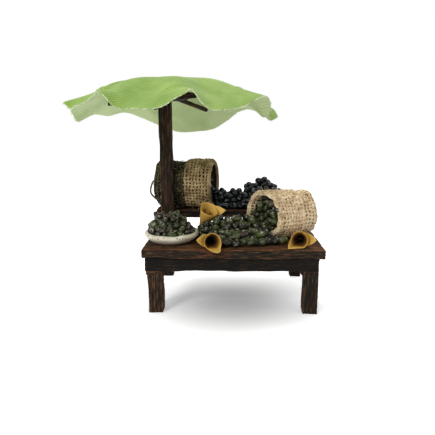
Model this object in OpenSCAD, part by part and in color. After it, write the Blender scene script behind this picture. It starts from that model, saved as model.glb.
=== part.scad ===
// Miniature wooden market stall: a low table with a raised back shelf, a round
// cloth sunshade on a square post, and its dressing of olives, sacks and paper cones.
// +X is the stall's right seen from its front, +Y its back, +Z up, and Z = 0 is the floor.
// The origin is on the floor under the middle of the whole outline.

/* [Table] */
// Length of both boards, left to right
board_l = 100; // [80:1:140]
// Depth of the front board
front_board_d = 42; // [34:1:60]
// Depth of the back board
back_board_d = 29; // [24:1:40]
// Thickness of both boards
board_t = 5; // [3:0.5:8]
// Height of the front board's top
table_h = 38; // [30:1:60]
// How far the back board's top stands above the front board's
step_h = 12; // [8:1:20]
// Gap between the front and the back board
board_gap = 8; // [7:0.5:14]
// Width of the square strips that the legs and aprons are cut from
strip = 8; // [5:0.5:10]
// Width of the back legs and the back apron
back_strip = 7; // [5:0.5:9]
// Board overhang past the aprons at the left end
left_overhang = 1.3; // [0:0.1:8]
// Board overhang past the aprons at the right end
right_overhang = 2.7; // [0:0.1:8]
// Board overhang past the front apron
front_overhang = 2.4; // [0:0.1:8]

/* [Sunshade] */
// Side of the square post
post_w = 7.6; // [5:0.2:8]
// Post axis from the boards' left end
post_inset = 8.6; // [7:0.1:20]
// Height of the post's top under the cloth
post_top = 130; // [126:1:136]
// Radius of the round hub plate
hub_r = 14; // [9:0.5:20]
// Height of the hub plate's underside
hub_z = 119; // [100:1:124]
// Thickness of the hub plate
hub_t = 2.4; // [1.5:0.1:4]
// Side of a square rib stick
rib_w = 2.5; // [1.5:0.1:3.5]
// Reach of the longest ribs from the post's axis
rib_reach = 50; // [30:1:55]
// Radius of the cloth
cloth_r = 64; // [50:1:80]
// Thickness of the cloth
cloth_t = 0.8; // [0.5:0.1:2]
// How far the cloth sits to the right of the post
cloth_shift_x = 2.4; // [0:0.1:6]
// How far the cloth sits to the front of the post
cloth_shift_y = 2.3; // [0:0.1:6]

/* [Goods] */
// Radius of the back sack's body
back_sack_r = 14.8; // [10:0.2:16]
// Radius of the front sack's body
front_sack_r = 13.4; // [10:0.2:14]
// Length of the sack on the back board
back_sack_l = 38; // [30:1:44]
// Length of the sack on the front board
front_sack_l = 30; // [24:1:32]
// Radius of the bowl
bowl_r = 16; // [12:0.2:18]
// Height of the bowl
bowl_h = 6; // [4:0.2:9]
// Length of a paper cone
cone_l = 17; // [12:0.5:20]
// Mouth radius of a paper cone
cone_r = 4.5; // [3:0.1:6]

/* [Hidden] */
$fn = 48;

// Places that follow from the driving dimensions
left_x = (cloth_r - cloth_shift_x - post_inset - board_l) / 2;
right_x = left_x + board_l;
post_x = left_x + post_inset;
post_y = cloth_shift_y;
front_y = post_y - board_gap / 2 - front_board_d;
front_board_back_y = front_y + front_board_d;
back_board_y = front_board_back_y + board_gap;
apron_x0 = left_x + left_overhang;
apron_x1 = right_x - right_overhang;
apron_y0 = front_y + front_overhang;
back_leg_y0 = back_board_y + 12.4;
apron_top = table_h - board_t;
apron_z0 = apron_top - strip;
shelf_top = table_h + step_h;
shelf_z0 = shelf_top - board_t;

wood = "#3A2318";
jute = "#B39468";
dark_jute = "#6F6038";
paper = "#C49A3C";
green_olive = "#4A4F38";
black_olive = "#1B1D22";

// Heights of the cloth's hem, evenly round it from +X towards +Y
hem_heights = [107, 112, 114, 103, 99, 107, 113, 109, 108, 116.5, 112.5, 120, 112, 120.5, 113, 118.5];
hem_step = 360 / len(hem_heights);
crown_z = post_top + cloth_t;
// How flat the cloth's middle is: 2 is a parabola
cloth_dome = 2.6;
rib_step = 45;
rib_start = 17;
// How much shorter than the longest each rib was cut
rib_cut = [0, 1.5, 3, 4, 16, 0, 0, 0];

// ---- Table ----

module board(y0, depth, z0) {
    color(wood) translate([left_x, y0, z0]) cube([board_l, depth, board_t]);
}

module front_board() {
    board(front_y, front_board_d, apron_top);
}

module back_board() {
    board(back_board_y, back_board_d, shelf_z0);
}

module front_apron() {
    color(wood) translate([apron_x0, apron_y0, apron_z0])
        cube([apron_x1 - apron_x0, strip, strip]);
}

module back_apron() {
    color(wood) translate([apron_x0 + back_strip, back_leg_y0, apron_z0])
        cube([apron_x1 - apron_x0 - 2 * back_strip, back_strip, strip]);
}

module side_apron(x0) {
    color(wood) translate([x0, apron_y0 + strip, apron_z0])
        cube([strip, back_leg_y0 - apron_y0 - strip, strip]);
}

module left_apron() {
    side_apron(apron_x0);
}

module right_apron() {
    side_apron(apron_x1 - strip);
}

module front_leg(x0) {
    color(wood) translate([x0, apron_y0, 0]) cube([strip, strip, apron_z0]);
}

module front_left_leg() {
    front_leg(apron_x0 + 1.2);
}

module front_right_leg() {
    front_leg(apron_x1 - strip);
}

module back_leg(x0) {
    color(wood) translate([x0, back_leg_y0, 0]) cube([back_strip, back_strip, shelf_z0]);
}

module back_left_leg() {
    back_leg(apron_x0);
}

module back_right_leg() {
    back_leg(apron_x1 - back_strip);
}

// ---- Sunshade ----

module sunshade_post() {
    color(wood) translate([post_x - post_w / 2, post_y - post_w / 2, apron_top])
        cube([post_w, post_w, post_top - apron_top]);
}

// A round plate with a square hole that the post passes through
module sunshade_hub() {
    color(wood) translate([post_x, post_y, hub_z]) difference() {
        cylinder(r = hub_r, h = hub_t);
        translate([-post_w / 2, -post_w / 2, -1]) cube([post_w, post_w, hub_t + 2]);
    }
}

// Hem height at an angle, eased from one listed height to the next
function hem_z(angle) =
    let (u = (angle + 360) % 360 / hem_step,
         i = floor(u),
         ease = (1 - cos(180 * (u - i))) / 2,
         from = hem_heights[i],
         to = hem_heights[(i + 1) % len(hem_heights)])
    from + (to - from) * ease;

// Height of the cloth's top at an angle and at a share of the way out to its hem
function cloth_z(angle, share) =
    hem_z(angle) + (crown_z - hem_z(angle)) * (1 - pow(share, cloth_dome));

// A square stick that holds up the cloth with its outer end. Odd ones lie on the hub
// plate, and even ones butt against its edge.
module rib(i) {
    on_top = i % 2 == 1;
    angle = rib_start + (i - 1) * rib_step;
    reach = rib_reach - rib_cut[i - 1];
    inner_r = on_top ? post_w / 2 + 3 : hub_r;
    inner_z = on_top ? hub_z + hub_t + rib_w / 2 : hub_z + hub_t / 2;
    tip_x = reach * cos(angle) - cloth_shift_x;
    tip_y = reach * sin(angle) + cloth_shift_y;
    tip_cloth_z = cloth_z(atan2(tip_y, tip_x), norm([tip_x, tip_y]) / cloth_r) - cloth_t;
    tip_z = tip_cloth_z - rib_w / 2 - 0.2;
    bearing_r = on_top ? hub_r : inner_r;
    slope = atan2(inner_z - tip_z, reach - bearing_r);
    color(wood) translate([post_x, post_y, inner_z]) rotate([0, 0, angle])
        translate([bearing_r, 0, 0]) rotate([0, slope, 0])
            translate([inner_r - bearing_r, -rib_w / 2, -rib_w / 2])
                cube([(reach - inner_r) / cos(slope), rib_w, rib_w]);
}

module sunshade_rib_1() { rib(1); }
module sunshade_rib_2() { rib(2); }
module sunshade_rib_3() { rib(3); }
module sunshade_rib_4() { rib(4); }
module sunshade_rib_5() { rib(5); }
module sunshade_rib_6() { rib(6); }
module sunshade_rib_7() { rib(7); }
module sunshade_rib_8() { rib(8); }

module sunshade_cloth() {
    around = 72;
    rings = 8;
    top = [for (j = [1:rings], i = [0:around - 1])
        let (s = j / rings, a = i * 360 / around)
        [cloth_r * s * cos(a), cloth_r * s * sin(a), cloth_z(a, s)]];
    count = around * rings;
    under = [for (p = top) p - [0, 0, cloth_t]];
    tip_top = [0, 0, crown_z];
    points = concat(top, under, [tip_top, tip_top - [0, 0, cloth_t]]);
    function at(j, i) = j * around + i % around;
    upper_bands = [for (j = [0:rings - 2], i = [0:around - 1])
        each [[at(j, i), at(j, i + 1), at(j + 1, i + 1)], [at(j, i), at(j + 1, i + 1), at(j + 1, i)]]];
    lower_bands = [for (f = upper_bands) [f[2] + count, f[1] + count, f[0] + count]];
    last = rings - 1;
    hem = [for (i = [0:around - 1])
        each [[at(last, i), at(last, i + 1), at(last, i + 1) + count],
              [at(last, i), at(last, i + 1) + count, at(last, i) + count]]];
    cap = [for (i = [0:around - 1]) [2 * count, at(0, i + 1), at(0, i)]];
    cup = [for (i = [0:around - 1]) [2 * count + 1, at(0, i) + count, at(0, i + 1) + count]];
    color("#98C25A") translate([post_x + cloth_shift_x, post_y - cloth_shift_y, 0])
        polyhedron(points, concat(upper_bands, lower_bands, hem, cap, cup));
}

// ---- Goods ----

// A low heap with a flat base: hull of small balls at the given places
module heap(points, ball_r) {
    hull() for (p = points) translate(p) sphere(r = ball_r, $fn = 16);
}

// A sack's body lying along +X from its closed end, with a pocket at the mouth
module sack_body(r, l) {
    bottom_round = 5;
    rotate([0, 90, 0]) difference() {
        rotate_extrude() {
            translate([0, bottom_round]) square([r, l - bottom_round]);
            square([r - bottom_round, bottom_round + 0.1]);
            intersection() {
                translate([r - bottom_round, bottom_round]) circle(bottom_round);
                square([r, bottom_round + 0.1]);
            }
        }
        translate([0, 0, l - sack_pocket]) cylinder(r = r - sack_wall, h = sack_pocket + 1);
    }
}

// The turned-back top of a sack, a sleeve over the body's last stretch
module sack_cuff(r, l, width) {
    rotate([0, 90, 0]) translate([0, 0, l - width]) difference() {
        cylinder(r = r + cuff_t, h = width);
        translate([0, 0, -1]) cylinder(r = r, h = width + 2);
    }
}

// What fills a sack's pocket, up to a slope that runs down to the mouth's lower lip
module sack_fill(r, l) {
    fill_slope = 12;
    fill_depth = 6.5;
    rotate([0, 90, 0]) translate([0, 0, l - sack_pocket]) intersection() {
        cylinder(r = r - sack_wall, h = sack_pocket);
        translate([0, 0, fill_depth]) rotate([0, -fill_slope, 0])
            translate([-2 * r, -2 * r, -2 * r]) cube([4 * r, 4 * r, 2 * r]);
    }
}

// Cuts what it is given off at a mouth that is turned towards the stall's front
module turned_mouth(l) {
    mouth_turn = 14;
    difference() {
        children();
        translate([l, 0, 0]) rotate([0, 0, mouth_turn]) translate([0, -50, -50])
            cube([50, 100, 100]);
    }
}

sack_pocket = 9;
sack_wall = 1.3;
cuff_t = 1;
back_cuff_w = 15.5;
front_cuff_w = 18;
// How much longer the front sack is before its mouth is cut at a turn
mouth_spare = 4;

// Where each sack lies: its closed end's middle, and its turn from +X
module at_back_sack() {
    translate([left_x - 1, back_board_y + 14, shelf_top + back_sack_r + cuff_t])
        rotate([0, 0, -6]) children();
}

module at_front_sack() {
    translate([right_x - 4, front_board_back_y - 5, table_h + front_sack_r + cuff_t])
        rotate([0, 0, 180 + 24]) children();
}

module back_sack() {
    color(dark_jute) at_back_sack() sack_body(back_sack_r, back_sack_l);
}

module back_sack_cuff() {
    color(jute) at_back_sack() sack_cuff(back_sack_r, back_sack_l, back_cuff_w);
}

module back_sack_olives() {
    color(black_olive) at_back_sack() sack_fill(back_sack_r, back_sack_l);
}

// A thin bent twig whose ends are stuck to the sack's closed end
module back_sack_handle() {
    loop_r = 7.6;
    twig_d = 1.1;
    into_end = 4.6;
    color(wood) at_back_sack() translate([into_end, -6, -3.4]) rotate([90, 0, 0])
        intersection() {
            rotate_extrude() translate([loop_r, 0]) circle(d = twig_d, $fn = 16);
            translate([-2 * loop_r - into_end, -2 * loop_r, -twig_d])
                cube([2 * loop_r, 4 * loop_r, 2 * twig_d]);
        }
}

module front_sack() {
    color(jute) at_front_sack() turned_mouth(front_sack_l)
        sack_body(front_sack_r, front_sack_l + mouth_spare);
}

module front_sack_cuff() {
    color(jute) at_front_sack() turned_mouth(front_sack_l)
        sack_cuff(front_sack_r, front_sack_l + mouth_spare, front_cuff_w);
}

module front_sack_olives() {
    color(green_olive) at_front_sack() turned_mouth(front_sack_l)
        sack_fill(front_sack_r, front_sack_l + mouth_spare);
}

bowl_x = left_x + 14.4;
bowl_y = front_y + 20;

// A shallow dish with a thick rounded lip and a flat-bottomed hollow
module bowl() {
    lip_r = 1.5;
    foot_r = bowl_r - 5;
    lip_z = bowl_h - lip_r;
    floor_t = 1.6;
    color("#D9D3BF") translate([bowl_x, bowl_y, table_h]) rotate_extrude() difference() {
        union() {
            polygon([[0, 0], [foot_r, 0], [bowl_r, lip_z], [bowl_r - 2 * lip_r, lip_z],
                     [0, lip_z]]);
            translate([bowl_r - lip_r, lip_z]) circle(lip_r, $fn = 32);
        }
        polygon([[0, floor_t], [foot_r - 1, floor_t], [bowl_r - 2 * lip_r, lip_z],
                 [bowl_r - 2 * lip_r, bowl_h + 1], [0, bowl_h + 1]]);
    }
}

module bowl_olives() {
    inner_r = bowl_r - 3.4;
    // The heap leans to the left of the bowl's middle
    color(green_olive) translate([bowl_x, bowl_y, table_h]) hull() {
        translate([0, 0, 1.8]) cylinder(r = bowl_r - 6.4, h = 1, $fn = 40);
        translate([0, 0, bowl_h - 1.4]) cylinder(r = inner_r, h = 1.6, $fn = 40);
        translate([-1.2, 0, bowl_h + 4]) cylinder(r = 11, h = 1, $fn = 40);
        translate([-2.2, 0, bowl_h + 9]) cylinder(r = 6, h = 2.4, $fn = 40);
    }
}

// Olives spilled from the front sack's mouth over the front board
module front_board_olives() {
    ball_r = 1.9;
    z0 = table_h + ball_r;
    color(green_olive) difference() {
        heap([[left_x + 36, front_y + 8, z0], [left_x + 54, front_y + 5.6, z0],
              [left_x + 78, front_y + 11, z0], [left_x + 70, front_y + 20, z0],
              [left_x + 56, front_y + 34, z0], [left_x + 31, front_y + 34, z0],
              [left_x + 32.5, front_y + 24, z0 + 4], [left_x + 36, front_y + 25, z0 + 8.2],
              [left_x + 42, front_y + 25, z0 + 9.8], [left_x + 58, front_y + 25, z0 + 11]],
             ball_r);
        paper_cone_envelope(cone_left);
        paper_cone_envelope(cone_middle);
    }
}

// Black olives heaped along the back board from the back sack's mouth, higher at the far end
module back_board_olives() {
    ball_r = 1.9;
    z0 = shelf_top + ball_r;
    y0 = back_board_y + 3;
    y1 = back_board_y + 24;
    ridge_y = back_board_y + 12;
    color(black_olive) union() {
        heap([[left_x + 41, y0, z0], [left_x + 86, y0, z0],
              [left_x + 86, y1, z0], [left_x + 41, y1, z0],
              [left_x + 41, ridge_y, z0 + 8.5], [left_x + 78, ridge_y, z0 + 8.5]], ball_r);
        heap([[left_x + 57, y0 + 1, z0 + 2], [left_x + 85, y0 + 1, z0 + 2],
              [left_x + 85, y1 - 1, z0 + 2], [left_x + 57, y1 - 1, z0 + 2],
              [left_x + 62, ridge_y, z0 + 12.8], [left_x + 70, ridge_y, z0 + 15.8],
              [left_x + 76, ridge_y, z0 + 13]], ball_r);
    }
}

// Paper cones: the point's place, the turn round Z and the rise of the axis
cone_point_r = 0.8;
lying_rise = atan((cone_r - cone_point_r) / cone_l);
cone_left = [[left_x + 36.1, front_y + 17.2, table_h + cone_point_r], -80, lying_rise];
cone_middle = [[left_x + 29.6, front_y + 34.7, table_h + 1.2], -54, 54.5];
cone_right = [[left_x + 89.5, front_y + 21.2, table_h + cone_point_r], -100, lying_rise];
paper_t = 0.4;

module at_cone(place) {
    translate(place[0]) rotate([0, 0, place[1]]) rotate([0, 90 - place[2], 0]) children();
}

module paper_cone_envelope(place) {
    at_cone(place) cylinder(h = cone_l + 0.4, r1 = cone_point_r + 0.3, r2 = cone_r + 0.3);
}

// A rolled sheet, as a hollow cone with a closed point
module paper_cone(place) {
    color(paper) at_cone(place) difference() {
        cylinder(h = cone_l, r1 = cone_point_r, r2 = cone_r);
        translate([0, 0, 2]) cylinder(h = cone_l - 1.99, r1 = 0.6, r2 = cone_r - paper_t);
    }
}

module paper_cone_left() {
    paper_cone(cone_left);
}

module paper_cone_middle() {
    paper_cone(cone_middle);
}

module paper_cone_right() {
    paper_cone(cone_right);
}

front_board();
back_board();
front_apron();
back_apron();
left_apron();
right_apron();
front_left_leg();
front_right_leg();
back_left_leg();
back_right_leg();
sunshade_post();
sunshade_hub();
sunshade_rib_1();
sunshade_rib_2();
sunshade_rib_3();
sunshade_rib_4();
sunshade_rib_5();
sunshade_rib_6();
sunshade_rib_7();
sunshade_rib_8();
sunshade_cloth();
bowl();
bowl_olives();
front_sack();
front_sack_cuff();
front_sack_olives();
front_board_olives();
back_sack();
back_sack_cuff();
back_sack_olives();
back_sack_handle();
back_board_olives();
paper_cone_left();
paper_cone_middle();
paper_cone_right();
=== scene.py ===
import math
import random

import bmesh
import bpy
import numpy as np
from mathutils import Matrix, Vector, noise
from mathutils.bvhtree import BVHTree


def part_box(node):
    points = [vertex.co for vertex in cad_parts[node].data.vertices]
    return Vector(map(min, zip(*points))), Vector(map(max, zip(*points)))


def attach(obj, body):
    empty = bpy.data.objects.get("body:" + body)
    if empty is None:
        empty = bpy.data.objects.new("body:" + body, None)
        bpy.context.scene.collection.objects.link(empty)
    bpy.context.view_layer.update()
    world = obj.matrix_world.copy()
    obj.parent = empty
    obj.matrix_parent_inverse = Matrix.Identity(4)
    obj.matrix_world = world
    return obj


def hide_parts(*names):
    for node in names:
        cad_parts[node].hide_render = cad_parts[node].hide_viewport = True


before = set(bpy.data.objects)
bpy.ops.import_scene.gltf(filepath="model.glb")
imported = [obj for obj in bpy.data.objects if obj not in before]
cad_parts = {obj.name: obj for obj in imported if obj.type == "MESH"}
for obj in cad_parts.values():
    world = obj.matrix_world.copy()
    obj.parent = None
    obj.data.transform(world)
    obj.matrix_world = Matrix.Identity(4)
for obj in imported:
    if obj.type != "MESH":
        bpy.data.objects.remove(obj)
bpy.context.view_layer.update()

# ---------------------------------------------------------------------------------------
# The view: a seat in front of the stall, a little above its boards, with soft studio
# light from above and behind the left shoulder, on a plain white sweep.
# All sizes are in millimetres and turned to metres where a mesh is made.
# ---------------------------------------------------------------------------------------

MM = 0.001


def linear(hex_code):
    """An sRGB hex colour as linear red, green, blue and alpha."""
    parts = [int(hex_code[i:i + 2], 16) / 255 for i in (1, 3, 5)]
    return [c / 12.92 if c <= 0.04045 else ((c + 0.055) / 1.055) ** 2.4 for c in parts] + [1.0]


def add(tree, kind, inputs=None, stops=(), **settings):
    """Adds a node. An input is a plain value or the socket that feeds it; stops are a ramp's."""
    made = tree.nodes.new(kind)
    for setting, value in settings.items():
        setattr(made, setting, value)
    for socket, value in (inputs or {}).items():
        if isinstance(value, bpy.types.NodeSocket):
            tree.links.new(value, made.inputs[socket])
        else:
            made.inputs[socket].default_value = value
    for count, (place, colour) in enumerate(stops):
        elements = made.color_ramp.elements
        stop = elements[count] if count < 2 else elements.new(place)
        stop.position = place
        stop.color = linear(colour)
    return made


def new_material(name):
    """A material, its node tree and its shader."""
    material = bpy.data.materials.new(name)
    material.use_nodes = True
    return material, material.node_tree, material.node_tree.nodes["Principled BSDF"]


def make_piece(name, points, faces, material, smooth=True):
    """A mesh object from points in millimetres."""
    mesh = bpy.data.meshes.new(name)
    mesh.from_pydata((np.asarray(points, dtype=float) * MM).tolist(), [], faces)
    mesh.materials.append(material)
    mesh.polygons.foreach_set("use_smooth", [smooth] * len(mesh.polygons))
    made = bpy.data.objects.new(name, mesh)
    bpy.context.collection.objects.link(made)
    return made


eye = Vector((25.75, -261.4, 104.2))
look = Vector((-0.0331, 0.9759, -0.2156)).normalized()
camera_roll = math.radians(-0.29)
level_right = look.cross(Vector((0, 0, 1))).normalized()
level_up = level_right.cross(look)
camera_right = level_right * math.cos(camera_roll) + level_up * math.sin(camera_roll)
camera_up = level_up * math.cos(camera_roll) - level_right * math.sin(camera_roll)
camera_data = bpy.data.cameras.new("camera")
camera_data.sensor_width = 36
camera_data.lens = 34.76
camera_data.clip_start = 0.01
camera = bpy.data.objects.new("camera", camera_data)
bpy.context.collection.objects.link(camera)
camera.matrix_world = (Matrix.Translation(eye * MM)
                       @ Matrix((camera_right, camera_up, -look)).transposed().to_4x4())
bpy.context.scene.camera = camera
bpy.context.scene.view_settings.view_transform = "Standard"

world = bpy.data.worlds.new("studio")
world.use_nodes = True
bpy.context.scene.world = world
sky = world.node_tree
sky.nodes.clear()
ray = add(sky, "ShaderNodeLightPath")
seen = add(sky, "ShaderNodeMath", {0: ray.outputs["Is Camera Ray"], 1: ray.outputs["Is Glossy Ray"]},
           operation="MAXIMUM")
seen = add(sky, "ShaderNodeMath", {0: seen.outputs[0], 1: ray.outputs["Is Transmission Ray"]},
           operation="MAXIMUM")
fill = add(sky, "ShaderNodeBackground", {"Color": linear("#FFFFFF"), "Strength": 0.6})
white = add(sky, "ShaderNodeBackground", {"Color": linear("#FFFFFF"), "Strength": 1.0})
either = add(sky, "ShaderNodeMixShader", {0: seen.outputs[0], 1: fill.outputs[0], 2: white.outputs[0]})
add(sky, "ShaderNodeOutputWorld", {"Surface": either.outputs[0]})

goods_middle = Vector((20, 0, 45))
# name, place, size across and power in watts; each aims at the goods
lamps = (("top_softbox", (10, 120, 430), 220, 0.85), ("front_softbox", (-240, -380, 330), 160, 1.1))
for name, place, across, power in lamps:
    lamp = bpy.data.lights.new(name, "AREA")
    lamp.shape = "DISK"
    lamp.size = across * MM
    lamp.energy = power
    lamp_object = bpy.data.objects.new(name, lamp)
    toward = (goods_middle - Vector(place)).normalized()
    lamp_object.rotation_euler = toward.to_track_quat("-Z", "Y").to_euler()
    lamp_object.location = Vector(place) * MM
    bpy.context.collection.objects.link(lamp_object)

# The sweep stays white to the eye, keeps the stall's soft shadow, and fades to pure white
# away from it. The fade is an oval round the shadow's middle; its sizes are in metres.
shadow_middle, shadow_shape = Vector((0.0268, -0.0314, 0)), Vector((1.03, 1.35, 1))
fade_from, fade_to = 0.0055, 0.082
sweep, tree, shader = new_material("white paper sweep")
shader.inputs["Base Color"].default_value = linear("#F2F2F2")
shader.inputs["Roughness"].default_value = 0.9
shader.inputs["Emission Color"].default_value = linear("#FFFFFF")
ray = add(tree, "ShaderNodeLightPath")
lift = add(tree, "ShaderNodeMath", {0: ray.outputs["Is Camera Ray"], 1: ray.outputs["Is Glossy Ray"]},
           operation="MAXIMUM")
place = add(tree, "ShaderNodeTexCoord")
shaped = add(tree, "ShaderNodeVectorMath", {0: place.outputs["Object"], 1: shadow_shape},
             operation="MULTIPLY")
away = add(tree, "ShaderNodeVectorMath", {0: shaped.outputs[0], 1: shadow_middle * shadow_shape},
           operation="DISTANCE")
fade = add(tree, "ShaderNodeMapRange", {"Value": away.outputs["Value"], "From Min": fade_from,
                                        "From Max": fade_to, "To Min": 0.0, "To Max": 0.74},
           interpolation_type="SMOOTHSTEP")
lift = add(tree, "ShaderNodeMath", {0: lift.outputs[0], 1: fade.outputs[0]}, operation="MULTIPLY")
tree.links.new(lift.outputs[0], shader.inputs["Emission Strength"])
sweep_size = 3000
floor = make_piece("floor", [(-sweep_size, -sweep_size, 0), (sweep_size, -sweep_size, 0),
                             (sweep_size, sweep_size, 0), (-sweep_size, sweep_size, 0)],
                   [(0, 1, 2, 3)], sweep, smooth=False)

# ---------------------------------------------------------------------------------------
# The table: boards, aprons and legs of thin pine strip, sawn coarsely, stained nearly
# black and rubbed at the edges, where the red-brown of the wood comes back. The pieces
# are glued: legs under the front apron, boards on the aprons, the back board on its legs.
# ---------------------------------------------------------------------------------------


def box_of(node):
    """Lowest and highest corner of a CAD node, in millimetres."""
    low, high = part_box(node)
    return Vector(low) / MM, Vector(high) / MM


# Stained pine: dull, streaked along the grain, with fine splinters of bare wood
stained_pine, tree, shader = new_material("stained rough-sawn pine")
# "grain" runs in millimetres, first along the fibres, then across them, moved on per piece
grain = add(tree, "ShaderNodeAttribute", attribute_name="grain")
wear_and_top_light = add(tree, "ShaderNodeAttribute", attribute_name="wear_and_top_light")
# Fibres are about 0.3 mm wide; they are drawn at about 0.6 mm so that they show
fibres = add(tree, "ShaderNodeMapping", {"Vector": grain.outputs["Vector"], "Scale": (0.075, 1.0, 1.0)})
fibre_tone = add(tree, "ShaderNodeTexNoise", {"Vector": fibres.outputs[0], "Scale": 1.8, "Detail": 5.0,
                                              "Roughness": 0.62, "Distortion": 0.3})
# Sticks differ in paleness, the stain is thinner where rubbed, and tops are paler as painted top light
fibre_shade = add(tree, "ShaderNodeMath", {0: wear_and_top_light.outputs["Fac"], 1: 0.35,
                                           2: fibre_tone.outputs["Fac"]}, operation="MULTIPLY_ADD")
# Stain takes unevenly, in patches about 12 mm long
patches = add(tree, "ShaderNodeMapping", {"Vector": grain.outputs["Vector"],
                                          "Scale": (0.09, 0.25, 0.25)})
patch_tone = add(tree, "ShaderNodeTexNoise", {"Vector": patches.outputs[0], "Scale": 1.0, "Detail": 3.0,
                                              "Roughness": 0.6})
stain = add(tree, "ShaderNodeValToRGB", {"Fac": fibre_shade.outputs[0]},
            stops=((0.41, "#070605"), (0.49, "#1B140E"), (0.57, "#32271C"), (0.7, "#654C31")))
bare = add(tree, "ShaderNodeValToRGB", {"Fac": fibre_shade.outputs[0]},
           stops=((0.42, "#1E120B"), (0.54, "#4E2B18"), (0.7, "#84512F")))
# Rubbed places and the painted top light both let the bare wood's colour show
rubbed_and_top_lit = add(tree, "ShaderNodeMath", {0: patch_tone.outputs["Fac"], 1: wear_and_top_light.outputs["Fac"]},
             operation="ADD")
rubbed_and_top_lit = add(tree, "ShaderNodeMapRange", {"Value": rubbed_and_top_lit.outputs[0], "From Min": 0.57,
                                          "From Max": 0.82, "To Min": 0.0, "To Max": 0.8})
wood_colour = add(tree, "ShaderNodeMix", {0: rubbed_and_top_lit.outputs[0], 6: stain.outputs[0],
                                          7: bare.outputs[0]}, data_type="RGBA")
tree.links.new(wood_colour.outputs[2], shader.inputs["Base Color"])
dullness = add(tree, "ShaderNodeMapRange", {"Value": fibre_tone.outputs["Fac"], "From Min": 0.3,
                                            "From Max": 0.7, "To Min": 0.7, "To Max": 0.95})
tree.links.new(dullness.outputs[0], shader.inputs["Roughness"])
shader.inputs["Specular IOR Level"].default_value = 0.18
furrows = add(tree, "ShaderNodeBump", {"Height": fibre_tone.outputs["Fac"], "Strength": 0.9,
                                       "Distance": 0.5 * MM})
tree.links.new(furrows.outputs[0], shader.inputs["Normal"])

edge_round = 0.55
# Grid steps of a stick's mesh, along its grain and across it
step_along, step_across = 1.5, 0.45
# Depth of the saw's furrows, of the slow swell of a stick, and of the bites out of its edges
furrow_deep, swell_deep, bite_deep = 0.26, 0.4, 1.0
# Painted top light on a stick's top, and how much thinner the stain is along its edges and ridges
painted_top_light, edge_wear, ridge_wear = 0.15, 0.4, 0.12
draw = random.Random(4)


def grid_lines(low, high, step):
    """Places of the grid lines between two edges, closer together where the edge is round."""
    inner = np.linspace(low + edge_round, high - edge_round,
                        max(2, round((high - low - 2 * edge_round) / step)))
    near = edge_round * np.array([0.0, 0.25, 0.6])
    return np.concatenate([low + near, inner, high - near[::-1]])


def rough_stick(name, low, high, along, roughness, paleness, place=None):
    """A sawn stick between two corners, its grain along one axis, moved by a matrix if given."""
    low, high = np.array(low), np.array(high)
    lines = [grid_lines(low[axis], high[axis], step_along if axis == along else step_across)
             for axis in range(3)]
    sheets, faces, start = [], [], 0
    for axis in range(3):
        one, two = (axis + 1) % 3, (axis + 2) % 3
        for side in (low[axis], high[axis]):
            across, up = np.meshgrid(lines[one], lines[two], indexing="ij")
            sheet = np.zeros(across.shape + (3,))
            sheet[..., axis], sheet[..., one], sheet[..., two] = side, across, up
            index = start + np.arange(across.size).reshape(across.shape)
            quads = np.stack([index[:-1, :-1], index[1:, :-1], index[1:, 1:], index[:-1, 1:]], -1)
            faces.append((quads if side == high[axis] else quads[..., ::-1]).reshape(-1, 4))
            sheets.append(sheet.reshape(-1, 3))
            start += across.size
    points = np.concatenate(sheets)
    _, first, welded = np.unique(points.round(4), axis=0, return_index=True, return_inverse=True)
    points = points[first]
    faces = welded.reshape(-1)[np.concatenate(faces)]
    # Round the edges, then push every point in or out along its normal
    heart = np.clip(points, low + edge_round, high - edge_round)
    normal = points - heart
    normal /= np.linalg.norm(normal, axis=1)[:, None]
    points = heart + edge_round * normal
    # 0 on a flat side and 1 on a rounded edge
    edge = np.clip((1 - np.abs(normal).max(axis=1)) / 0.25, 0, 1)
    shift = Vector((draw.uniform(0, 90), draw.uniform(0, 90), draw.uniform(0, 90)))
    stretch = Vector([0.11 if axis == along else 1.0 for axis in range(3)])
    lift, wear_and_top_light = [], []
    for point, way, at_edge in zip(points, normal, edge):
        here = Vector(point) + shift
        furrow = noise.noise(here * stretch * 1.1)
        swell = noise.noise(here * stretch.lerp(Vector((1, 1, 1)), 0.5) * 0.11)
        nibble = max(0.0, 0.1 + noise.noise(here * 0.33) + 0.4 * noise.noise(here * 1.3)) ** 1.3
        raised = furrow_deep * furrow + swell_deep * swell - bite_deep * nibble * at_edge
        lift.append(roughness * raised)
        rubbed_edge = edge_wear * at_edge * (0.6 + noise.noise(here * 0.5))
        # A stick's top is made paler as painted top light; its edges and ridges are rubbed
        wear_and_top_light.append(paleness + painted_top_light * max(0.0, way[2]) + rubbed_edge + ridge_wear * furrow)
    points = points + normal * np.array(lift)[:, None]
    grain = np.roll(points + np.array(shift), -along, axis=1)
    if place is not None:
        points = points @ np.array(place.to_3x3()).T + np.array(place.translation)
    points[:, 2] = np.maximum(points[:, 2], 0)
    made = make_piece(name, points, faces.tolist(), stained_pine)
    made.data.attributes.new("grain", "FLOAT_VECTOR", "POINT").data.foreach_set("vector", grain.ravel())
    made.data.attributes.new("wear_and_top_light", "FLOAT", "POINT").data.foreach_set("value", wear_and_top_light)
    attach(made, "root")
    return made


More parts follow.
